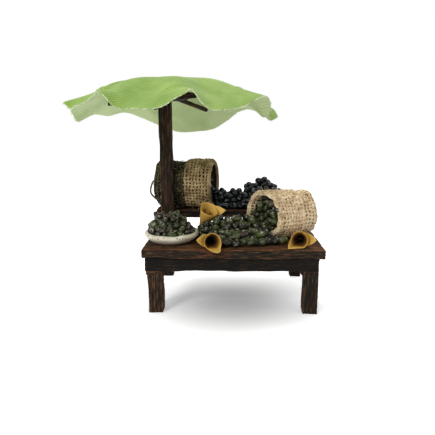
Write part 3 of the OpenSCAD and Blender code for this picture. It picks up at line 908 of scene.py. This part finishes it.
piece = weave("woven_back_sack", back_sack, 0.1, 25.0, -0.3, dark_jute)
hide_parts("back_sack")
piece = weave("woven_back_cuff", back_sack, 22.5, 38.0, 0.35, brown_jute, fold=2)
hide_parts("back_sack_cuff")
sack_lining("back_sack_lining", back_sack, dark_cloth)
sack_fuzz("back_sack_fuzz", back_sack, 420, 1, 39, 2.6, loose_jute)
piece = weave("woven_front_sack", front_sack, 0.1, 17.0, -0.3, pale_jute)
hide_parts("front_sack")
piece = weave("woven_front_cuff", front_sack, 12.0, 30.0, 0.35, pale_jute, fold=4)
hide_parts("front_sack_cuff")
sack_lining("front_sack_lining", front_sack, brown_cloth)
sack_fuzz("front_sack_fuzz", front_sack, 420, 1, 31, 2.4, loose_jute)

# ---------------------------------------------------------------------------------------
# The handle at the back sack's closed end: a thin dark twig bent into a loop, its ends
# glued into the jute.
# ---------------------------------------------------------------------------------------

# Bark: dull grey-brown, flecked every 0.7 mm or so
twig, tree, shader = new_material("thin bent twig")
place = add(tree, "ShaderNodeTexCoord")
bark = add(tree, "ShaderNodeTexNoise", {"Vector": place.outputs["Object"], "Scale": 1400.0,
                                        "Detail": 4.0})
shade = add(tree, "ShaderNodeValToRGB", {"Fac": bark.outputs["Fac"]},
            stops=((0.35, "#3A2D1F"), (0.7, "#85714F")))
tree.links.new(shade.outputs[0], shader.inputs["Base Color"])
shader.inputs["Roughness"].default_value = 0.75
bump = add(tree, "ShaderNodeBump", {"Height": bark.outputs["Fac"], "Strength": 0.6,
                                    "Distance": 0.15 * MM})
tree.links.new(bump.outputs[0], shader.inputs["Normal"])
loop_radius, twig_half = 7.6, 0.65
# The loop's middle in the sack's own frame, and half of the turn that it covers
loop_middle = Vector((4.6, -6.0, -3.4))
half_turn = 1.845
points, faces = [], []
twig_steps, twig_sides = 48, 8
for step in range(twig_steps + 1):
    angle = math.pi + half_turn * (step / twig_steps * 2 - 1)
    out = Vector((math.cos(angle), 0, math.sin(angle)))
    middle = loop_middle + loop_radius * out
    # It isn't bent quite true
    middle += 0.35 * Vector([noise.noise(Vector((angle * 1.6, axis * 7, 4))) for axis in range(3)])
    thick = twig_half * (1 + 0.25 * noise.noise(Vector((angle * 5, 1, 0))))
    for side in range(twig_sides):
        roll = math.tau * side / twig_sides
        off = out * math.cos(roll) + Vector((0, math.sin(roll), 0))
        points.append(back_sack.matrix @ (middle + thick * off))
for step in range(twig_steps):
    for side in range(twig_sides):
        here, after = step * twig_sides + side, step * twig_sides + (side + 1) % twig_sides
        faces.append((here, after, after + twig_sides, here + twig_sides))
faces.append(tuple(reversed(range(twig_sides))))
faces.append(tuple(twig_steps * twig_sides + side for side in range(twig_sides)))
handle = make_piece("twig_handle", points, faces, twig)
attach(handle, "root")
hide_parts("back_sack_handle")

# ---------------------------------------------------------------------------------------
# The bowl: a shallow hand-made dish with a thick rounded lip, glazed cream with dark
# specks, glued to the front board.
# ---------------------------------------------------------------------------------------

# A satin glaze: soft gloss, clouded from cream to grey-cream about every 6 mm
glaze, tree, shader = new_material("speckled cream glaze")
place = add(tree, "ShaderNodeTexCoord")
tone = add(tree, "ShaderNodeTexNoise", {"Vector": place.outputs["Object"], "Scale": 170.0,
                                        "Detail": 4.0})
cream = add(tree, "ShaderNodeValToRGB", {"Fac": tone.outputs["Fac"]},
            stops=((0.3, "#B3AA92"), (0.62, "#E0DAC8")))
# Specks are 0.3 to 0.6 mm across, gathered here and there
cells = add(tree, "ShaderNodeTexVoronoi", {"Vector": place.outputs["Object"], "Scale": 620.0})
speck = add(tree, "ShaderNodeMapRange", {"Value": cells.outputs["Distance"], "From Min": 0.2,
                                         "From Max": 0.3, "To Min": 1.0, "To Max": 0.0})
gathered = add(tree, "ShaderNodeTexNoise", {"Vector": place.outputs["Object"], "Scale": 330.0,
                                            "Detail": 2.0})
gathered = add(tree, "ShaderNodeMapRange", {"Value": gathered.outputs["Fac"], "From Min": 0.44,
                                            "From Max": 0.52})
speck = add(tree, "ShaderNodeMath", {0: speck.outputs[0], 1: gathered.outputs[0]},
            operation="MULTIPLY")
glazed = add(tree, "ShaderNodeMix", {0: speck.outputs[0], 6: cream.outputs[0],
                                     7: linear("#2E2A1F")}, data_type="RGBA")
tree.links.new(glazed.outputs[2], shader.inputs["Base Color"])
shader.inputs["Roughness"].default_value = 0.42
bump = add(tree, "ShaderNodeBump", {"Height": tone.outputs["Fac"], "Strength": 0.3,
                                    "Distance": 0.3 * MM})
tree.links.new(bump.outputs[0], shader.inputs["Normal"])

bowl_low, bowl_high = box_of("bowl")
bowl_middle = (bowl_low + bowl_high) / 2
bowl_radius = (bowl_high.x - bowl_low.x) / 2
bowl_tall = bowl_high.z - bowl_low.z
lip = 1.5
lip_turn = [(bowl_radius - lip + lip * math.cos(a), bowl_tall - lip + lip * math.sin(a))
            for a in np.radians(np.arange(-35, 216, 25))]
# The profile's points are distance from the middle and height; it starts and ends at the pole,
# where the ring is so small that it is welded shut
pole = 0.01
outside = [(pole, 0), (bowl_radius - 7, 0), (bowl_radius - 5, 0.15), (bowl_radius - 3.4, 1.0),
           (bowl_radius - 1.6, 2.4)]
inside = [(bowl_radius - 4.6, 2.6), (bowl_radius - 6.4, 1.8), (pole, 1.6)]
profile = outside + lip_turn + inside
pinch_deep, wave_deep = 0.35, 0.3
bowl_around = 96
points, faces = [], []
for step in range(bowl_around):
    angle = math.tau * step / bowl_around
    way = Vector((math.cos(angle), math.sin(angle), 0))
    for radius, height in profile:
        pinch = pinch_deep * noise.noise(way * 1.4 + Vector((0, 0, 7))) * radius / bowl_radius
        wave = wave_deep * noise.noise(way * 2.1) * height / bowl_tall
        level = Vector((bowl_middle.x, bowl_middle.y, bowl_low.z + height + wave))
        points.append(level + way * (radius + pinch))
    for row in range(len(profile) - 1):
        here, after = step * len(profile), (step + 1) % bowl_around * len(profile)
        faces.append((here + row, after + row, after + row + 1, here + row + 1))
bowl = make_piece("speckled_bowl", points, faces, glaze)
shut = bowl.modifiers.new("close", "WELD")
shut.merge_threshold = 0.06 * MM
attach(bowl, "root")
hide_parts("bowl")

# ---------------------------------------------------------------------------------------
# The paper cones: squares of golden kraft paper rolled from one corner, so that the far
# corner stands out of the mouth and a side corner springs open, and glued to the board.
# ---------------------------------------------------------------------------------------


def kraft_paper(name, stops):
    """Thin kraft paper, smooth and faintly mottled; stops are its colours into the roll, darkening there
    as painted shade.
    """
    material, tree, shader = new_material(name)
    place = add(tree, "ShaderNodeTexCoord")
    # Clumps of pulp are about 2 mm across, with finer ones in them
    pulp = add(tree, "ShaderNodeTexNoise", {"Vector": place.outputs["Object"], "Scale": 420.0,
                                            "Detail": 5.0, "Roughness": 0.7})
    inward = add(tree, "ShaderNodeAttribute", attribute_name="inward")
    tone = add(tree, "ShaderNodeMath", {0: pulp.outputs["Fac"], 1: 0.16, 2: inward.outputs["Fac"]},
               operation="MULTIPLY_ADD")
    tone = add(tree, "ShaderNodeValToRGB", {"Fac": tone.outputs[0]}, stops=stops)
    tree.links.new(tone.outputs[0], shader.inputs["Base Color"])
    shader.inputs["Roughness"].default_value = 0.6
    bump = add(tree, "ShaderNodeBump", {"Height": pulp.outputs["Fac"], "Strength": 0.25,
                                        "Distance": 0.1 * MM})
    tree.links.new(bump.outputs[0], shader.inputs["Normal"])
    return material


# Outside, the paper is a little darker towards the point, from the same painted shade
kraft = kraft_paper("golden kraft paper", ((0.05, "#CCA24A"), (1.1, "#A87C33")))
# Inside the roll the paper is darkened towards the point as painted shade
kraft_inside_painted_shade = kraft_paper("golden kraft paper, painted shade inside the roll",
                           ((0.1, "#D2AA50"), (0.22, "#976B26"), (0.38, "#5E3D18"), (0.8, "#2A180B")))
paper_thickness = 0.2
cone_point = 0.7
cone_mouth = 4.5
cone_length = 17.0
# A lying cone is tilted so that its underside is level
lying_rise = math.degrees(math.atan((cone_mouth - cone_point) / cone_length))
# The corners bend out over the last part of a cone, and past this turn the painted shade stops
bend_from = 0.72
painted_shade_to = 200
# Each turn of the paper lies a little outside the last
turn_growth = 0.1
clear_of_board = 0.4
cone_rows, cone_turns = 24, 180
cone_axes = []
board_left, board_front, board_top = front_board_low.x, front_board_low.y, front_board_high.z


def paper_cone(name, node, point, heading, rise, hand, edge, corners):
    """A rolled cone. Turns are degrees from its underside, counted to its right, or to its left
    with hand -1. Edge is the paper's outline as (turn, millimetres from the point); corners are
    (turn, how far out, half width) of the paper's corners that bend out of the roll."""
    matrix = (Matrix.Translation(point) @ Matrix.Rotation(math.radians(heading), 4, "Z")
              @ Matrix.Rotation(math.radians(90 - rise), 4, "Y"))
    rows = cone_rows
    turns = np.linspace(edge[0][0], edge[-1][0], cone_turns)
    points, faces, inward = [], [], []
    for turn in turns:
        reach = np.interp(turn, [knot[0] for knot in edge], [knot[1] for knot in edge])
        wrap = 1.0 + turn_growth * (turn - turns[0]) / 360
        bend = sum(out * max(0.0, 1 - abs(turn - middle) / half) for middle, out, half in corners)
        for row in range(rows + 1):
            length = reach * row / rows
            share = length / cone_length
            radius = cone_point + (cone_mouth - cone_point) * share
            radius *= wrap + bend * max(0.0, (share - bend_from) / (1 - bend_from))
            angle = hand * math.radians(turn)
            place = matrix @ Vector((radius * math.cos(angle), radius * math.sin(angle), length))
            # It lies flat where it meets the board
            place.z = max(place.z, board_top + clear_of_board)
            points.append(place)
            # The painted shade deepens towards the point, but not on the corners that bend out
            inward.append(max(0.0, 1 - share) if turn < painted_shade_to else 0.0)
    for count in range(len(turns) - 1):
        for row in range(rows):
            here, after = count * (rows + 1) + row, (count + 1) * (rows + 1) + row
            faces.append((here, after, after + 1, here + 1)[::hand])
    made = make_piece(name, points, faces, kraft)
    made.data.materials.append(kraft_inside_painted_shade)
    made.data.attributes.new("inward", "FLOAT", "POINT").data.foreach_set("value", inward)
    thick = made.modifiers.new("paper", "SOLIDIFY")
    thick.thickness = paper_thickness * MM
    thick.offset = -1
    thick.material_offset = 1
    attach(made, "root")
    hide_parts(node)
    cone_axes.append((point, matrix.to_3x3() @ Vector((0, 0, 1))))


def near_a_cone(place, margin):
    """True where a place is within a margin of a paper cone."""
    for point, way in cone_axes:
        along = (place - point).dot(way)
        off_axis = (place - point - way * along).length
        radius = cone_point + (cone_mouth - cone_point) * along / cone_length
        if -margin < along < cone_length + margin and off_axis < radius + margin:
            return True
    return False


paper_cone("paper_cone_by_bowl", "paper_cone_left",
           Vector((board_left + 36.1, board_front + 17.2, board_top + cone_point)), -80, lying_rise, 1,
           ((-165, 16.8), (-30, 17), (10, 23), (45, 19.5), (88, 17), (200, 16.5), (262, 17.5),
            (312, 14.5)),
           ((10, 0.36, 42), (262, 0.72, 50)))
paper_cone("paper_cone_behind", "paper_cone_middle",
           Vector((board_left + 29.6, board_front + 34.7, board_top + 1.2)), -54, 54.5, -1,
           ((-125, 19), (30, 20), (90, 19.5), (144, 21), (198, 20), (250, 20), (290, 21), (335, 17)),
           ((290, 0.4, 45),))
paper_cone("paper_cone_at_corner", "paper_cone_right",
           Vector((board_left + 89.5, board_front + 21.2, board_top + cone_point)), -100, lying_rise, -1,
           ((-160, 16.8), (-40, 17), (10, 18.5), (50, 20.5), (93, 17.5), (190, 16.8), (268, 17.5),
            (318, 14.5)),
           ((48, 0.26, 45), (268, 0.76, 50)))

# ---------------------------------------------------------------------------------------
# The olives: beads of modelling clay about 4 mm thick and 5 to 6 mm long, rolled by hand,
# painted and brushed with a pale tone, and glued in heaps. Green ones fill the bowl and the
# front sack, black ones the back sack.
# ---------------------------------------------------------------------------------------


def painted_clay(name, tones, bloom, roughness):
    """Painted clay: uneven colour from bead to bead, a pale dry-brushed bloom that leans to the tops
    partly as painted top light, a soft gloss.
    """
    material, tree, shader = new_material(name)
    tint = add(tree, "ShaderNodeAttribute", attribute_name="tint")
    colour = add(tree, "ShaderNodeValToRGB", {"Fac": tint.outputs["Fac"]}, stops=tones)
    place = add(tree, "ShaderNodeTexCoord")
    # Dabs of the dry brush are 1 to 2 mm across; more fall on the tops, partly real dry-brushing and
    # partly painted top light
    dabs = add(tree, "ShaderNodeTexNoise", {"Vector": place.outputs["Object"], "Scale": 620.0,
                                            "Detail": 3.0, "Roughness": 0.6})
    upward = add(tree, "ShaderNodeSeparateXYZ", {0: place.outputs["Normal"]})
    brushed_and_top_lit = add(tree, "ShaderNodeMath", {0: upward.outputs[2], 1: 0.06, 2: dabs.outputs["Fac"]},
                 operation="MULTIPLY_ADD")
    shown = add(tree, "ShaderNodeMapRange", {"Value": brushed_and_top_lit.outputs[0], "From Min": 0.59,
                                             "From Max": 0.7, "To Min": 0.0, "To Max": 0.8})
    brushed = add(tree, "ShaderNodeMix", {0: shown.outputs[0], 6: colour.outputs[0],
                                          7: linear(bloom)}, data_type="RGBA")
    tree.links.new(brushed.outputs[2], shader.inputs["Base Color"])
    shader.inputs["Roughness"].default_value = roughness
    shader.inputs["Specular IOR Level"].default_value = 0.3
    bump = add(tree, "ShaderNodeBump", {"Height": dabs.outputs["Fac"], "Strength": 0.5,
                                        "Distance": 0.35 * MM})
    tree.links.new(bump.outputs[0], shader.inputs["Normal"])
    return material


clay = {"green": painted_clay("painted clay, green olive",
                              ((0.0, "#15160D"), (0.25, "#212013"), (0.55, "#2F371A"),
                               (0.8, "#424D23"), (0.95, "#2E231B")), "#B9AF9F", 0.34),
        "black": painted_clay("painted clay, black olive",
                              ((0.0, "#090A0C"), (0.6, "#101216"), (1.0, "#1A1D22")), "#8C9299", 0.3)}

olive_tree = bpy.data.node_groups.new("heaped_olives", "GeometryNodeTree")
olive_tree.interface.new_socket("Seeds", in_out="INPUT", socket_type="NodeSocketGeometry")
olive_tree.interface.new_socket("Radius", in_out="INPUT", socket_type="NodeSocketFloat")
olive_tree.interface.new_socket("Lumps", in_out="INPUT", socket_type="NodeSocketFloat")
olive_tree.interface.new_socket("Finish", in_out="INPUT", socket_type="NodeSocketMaterial")
olive_tree.interface.new_socket("Olives", in_out="OUTPUT", socket_type="NodeSocketGeometry")
given = add(olive_tree, "NodeGroupInput").outputs
bead = add(olive_tree, "GeometryNodeMeshUVSphere", {"Segments": 12, "Rings": 8,
                                                    "Radius": given["Radius"]})
longer = add(olive_tree, "GeometryNodeTransform", {"Geometry": bead.outputs[0],
                                                   "Scale": (0.88, 0.88, 1.25)})
any_way = add(olive_tree, "FunctionNodeRandomValue",
              {0: (-3.1, -3.1, -3.1), 1: (3.1, 3.1, 3.1), "Seed": 5}, data_type="FLOAT_VECTOR")
any_size = add(olive_tree, "FunctionNodeRandomValue", {2: 0.9, 3: 1.12, "Seed": 6},
               data_type="FLOAT")
heaped = add(olive_tree, "GeometryNodeInstanceOnPoints",
             {"Points": given["Seeds"], "Instance": longer.outputs[0], "Rotation": any_way.outputs[0],
              "Scale": any_size.outputs[1]})
real = add(olive_tree, "GeometryNodeRealizeInstances", {0: heaped.outputs[0]})
lump = add(olive_tree, "ShaderNodeTexNoise", {"Scale": 330.0, "Detail": 1.0})
centred = add(olive_tree, "ShaderNodeVectorMath", {0: lump.outputs["Color"], 1: (0.5, 0.5, 0.5)},
              operation="SUBTRACT")
pushed = add(olive_tree, "ShaderNodeVectorMath", {0: centred.outputs[0], "Scale": given["Lumps"]},
             operation="SCALE")
lumpy = add(olive_tree, "GeometryNodeSetPosition", {"Geometry": real.outputs[0],
                                                    "Offset": pushed.outputs[0]})
smooth = add(olive_tree, "GeometryNodeSetShadeSmooth", {0: lumpy.outputs[0]})
coated = add(olive_tree, "GeometryNodeSetMaterial", {"Geometry": smooth.outputs[0],
                                                     "Material": given["Finish"]})
add(olive_tree, "NodeGroupOutput", {0: coated.outputs[0]})


# Drops are tried this far apart and strayed from there; olives sink a little into each other
drop_gap, drop_stray, press = 0.6, 0.25, 0.87
# How near an olive's middle may come to a cone or a sack's wall, in olive radii
cone_gap, sack_gap = 0.75, 0.65
lump_size = 0.65


def heap_olives(name, node, colour, bead_radius, proud, up=Vector((0, 0, 1))):
    """Drops olives one by one into a CAD heap's outline, each into the deepest hollow left. The
    top ones stand proud of the outline by some millimetres."""
    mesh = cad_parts[node].data
    tilt = up.to_track_quat("Z", "Y").to_matrix()
    corners = [tilt.transposed() @ (v.co / MM) for v in mesh.vertices]
    outline = BVHTree.FromPolygons(corners, [tuple(p.vertices) for p in mesh.polygons])
    low = [min(c[axis] for c in corners) for axis in range(3)]
    high = [max(c[axis] for c in corners) for axis in range(3)]
    # Each spot holds its place and the lowest and highest that an olive's middle may lie there
    spots = []
    for x in np.arange(low[0], high[0], drop_gap):
        for y in np.arange(low[1], high[1], drop_gap):
            top = outline.ray_cast(Vector((x, y, high[2] + 9)), Vector((0, 0, -1)))[0]
            under = outline.ray_cast(Vector((x, y, low[2] - 9)), Vector((0, 0, 1)))[0]
            if top is not None and under is not None:
                spots.append((x + draw.uniform(-drop_stray, drop_stray),
                              y + draw.uniform(-drop_stray, drop_stray), under.z + bead_radius,
                              top.z + proud - bead_radius * draw.uniform(0.6, 1.1)))
    spots = np.array(spots)
    rest = spots[:, 2].copy()
    reach = 2 * bead_radius * press
    seeds = []
    while True:
        score = np.where(rest <= spots[:, 3], rest, np.inf)
        lowest = int(np.argmin(score))
        if score[lowest] == np.inf:
            break
        x, y, z = spots[lowest, 0], spots[lowest, 1], rest[lowest]
        place = tilt @ Vector((x, y, z))
        wall_margin = bead_radius if up.z > 0.9 else sack_gap * bead_radius
        in_a_wall = any(sack.walls_at(place, wall_margin) for sack in (front_sack, back_sack))
        if in_a_wall or near_a_cone(place, bead_radius * cone_gap):
            rest[lowest] = np.inf
            continue
        seeds.append(place)
        gap = reach ** 2 - (spots[:, 0] - x) ** 2 - (spots[:, 1] - y) ** 2
        rest = np.maximum(rest, np.where(gap > 0, z + np.sqrt(np.maximum(gap, 0)), -np.inf))
    made = grow(name, olive_tree, seeds, {"tint": ("FLOAT", "value", [draw.random() for _ in seeds])},
                {"Radius": bead_radius * MM, "Lumps": lump_size * MM, "Finish": clay[colour]})
    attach(made, "root")
    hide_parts(node)


# Set glue with paint run into it, nearly black between the olives, where it is also painted shade in the
# gaps
glue = mottled("dark glue and painted shade under the olives", 700.0, 2.0, ((0.35, "#0B0B09"), (0.7, "#1B1C15")), 0.7)


def glue_and_shade_bed(name, node):
    """The lump of glue that a heap is stuck to, also dark painted shade between its olives: the heap's
    own shape, drawn in all round.
    """
    drawn_in, off_board = 2.4, 0.1
    low, high = box_of(node)
    foot = Vector(((low.x + high.x) / 2, (low.y + high.y) / 2, low.z + off_board))
    shrink = Vector([1 - 2 * drawn_in / (high[axis] - low[axis]) for axis in range(3)])
    bed = bpy.data.meshes.new(name)
    edit = bmesh.new()
    edit.from_mesh(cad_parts[node].data)
    bmesh.ops.remove_doubles(edit, verts=edit.verts, dist=0.001 * MM)
    for vertex in edit.verts:
        vertex.co = (foot + (vertex.co / MM - foot) * shrink) * MM
    edit.to_mesh(bed)
    edit.free()
    bed.materials.append(glue)
    made = bpy.data.objects.new(name, bed)
    bpy.context.collection.objects.link(made)
    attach(made, "root")


glue_and_shade_bed("glue_and_shade_in_bowl", "bowl_olives")
glue_and_shade_bed("glue_and_shade_on_front_board", "front_board_olives")
glue_and_shade_bed("glue_and_shade_on_back_board", "back_board_olives")
# The radius of an olive, and how far the top ones stand proud, suit each heap's size
heap_olives("olives_in_bowl", "bowl_olives", "green", 2.05, -0.2)
heap_olives("olives_on_front_board", "front_board_olives", "green", 2.45, 1.4)
heap_olives("olives_on_back_board", "back_board_olives", "black", 2.15, 1.2)
front_mouth = front_sack.matrix.to_3x3() @ Vector((1, 0, 0))
back_mouth = back_sack.matrix.to_3x3() @ Vector((1, 0, 0))
heap_olives("olives_in_front_sack", "front_sack_olives", "green", 2.3, 1.7, front_mouth)
heap_olives("olives_in_back_sack", "back_sack_olives", "black", 2.1, 1.4, back_mouth)
